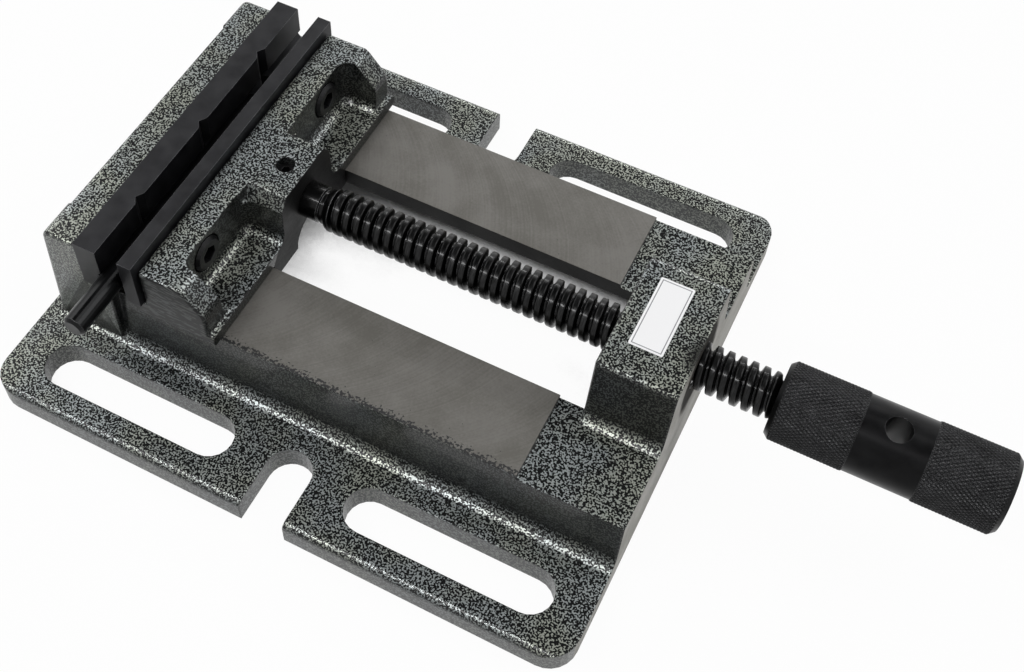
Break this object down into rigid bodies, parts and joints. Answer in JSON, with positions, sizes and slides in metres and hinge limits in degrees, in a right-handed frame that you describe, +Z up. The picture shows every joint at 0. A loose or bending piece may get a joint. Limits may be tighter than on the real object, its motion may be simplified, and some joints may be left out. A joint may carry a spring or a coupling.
{
  "type": "drill press vise",
  "caption": "Low drill-press vise: slotted cast-iron base, sliding jaw on a lead screw with a knurled barrel handle, bolted jaw plates and a loose tommy bar.",
  "frame": {"origin": "underside of the base, on the centre line, straight below the gripping face of the fixed jaw plate", "axes": "+X along the lead screw from the fixed jaw to the handle, +Y across the jaws, away from the side where the tommy bar sticks out, +Z up from the machine table"},
  "size_m": [0.3177, 0.192, 0.064],
  "materials": {
    "hammertone_paint": "black and light grey hammertone paint over grey cast iron, machined rail tops",
    "hammertone_paint_jaw": "black and light grey hammertone paint over grey cast iron, machined tongue",
    "black_oxide_plate": "ground steel, black oxide",
    "fastener_steel": "black oxide",
    "keeper_steel": "plain steel",
    "black_oxide_screw": "turned steel, oiled black oxide",
    "black_oxide_handle": "turned and knurled steel, black oxide",
    "black_oxide_bar": "turned steel, black oxide"
  },
  "bodies": {
    "base": {"base_casting": "hammertone_paint", "fixed_jaw_plate": "black_oxide_plate", "fixed_plate_screw_near": "fastener_steel", "fixed_plate_screw_far": "fastener_steel"},
    "jaw": {"moving_jaw": "hammertone_paint_jaw", "moving_jaw_plate": "black_oxide_plate", "moving_plate_screw_near": "fastener_steel", "moving_plate_screw_far": "fastener_steel", "keeper_plate": "keeper_steel", "keeper_screw_near": "fastener_steel", "keeper_screw_far": "fastener_steel", "keeper_washer_near": "fastener_steel", "keeper_washer_far": "fastener_steel", "spindle_set_screw": "fastener_steel"},
    "spindle": {"lead_screw": "black_oxide_screw", "handle": "black_oxide_handle", "handle_pin": "fastener_steel"},
    "bar": {"tommy_bar": "black_oxide_bar"}
  },
  "joints": [
    {"name": "jaw_slide", "type": "slide", "parent": "base", "child": "jaw", "axis": [1, 0, 0], "range_m": [0, 0.105]},
    {"name": "screw_turn", "type": "hinge", "parent": "jaw", "child": "spindle", "pos_m": [0.0404, 0, 0.0462], "axis": [1, 0, 0], "range_deg": [0, 9450]},
    {"name": "bar_slide", "type": "slide", "parent": "base", "child": "bar", "axis": [0, 1, 0], "range_m": [-0.04, 0.055]}
  ],
  "couplings": [
    {"joint": "screw_turn", "follows": "jaw_slide", "rad_per_m": 1570.8}
  ]
}
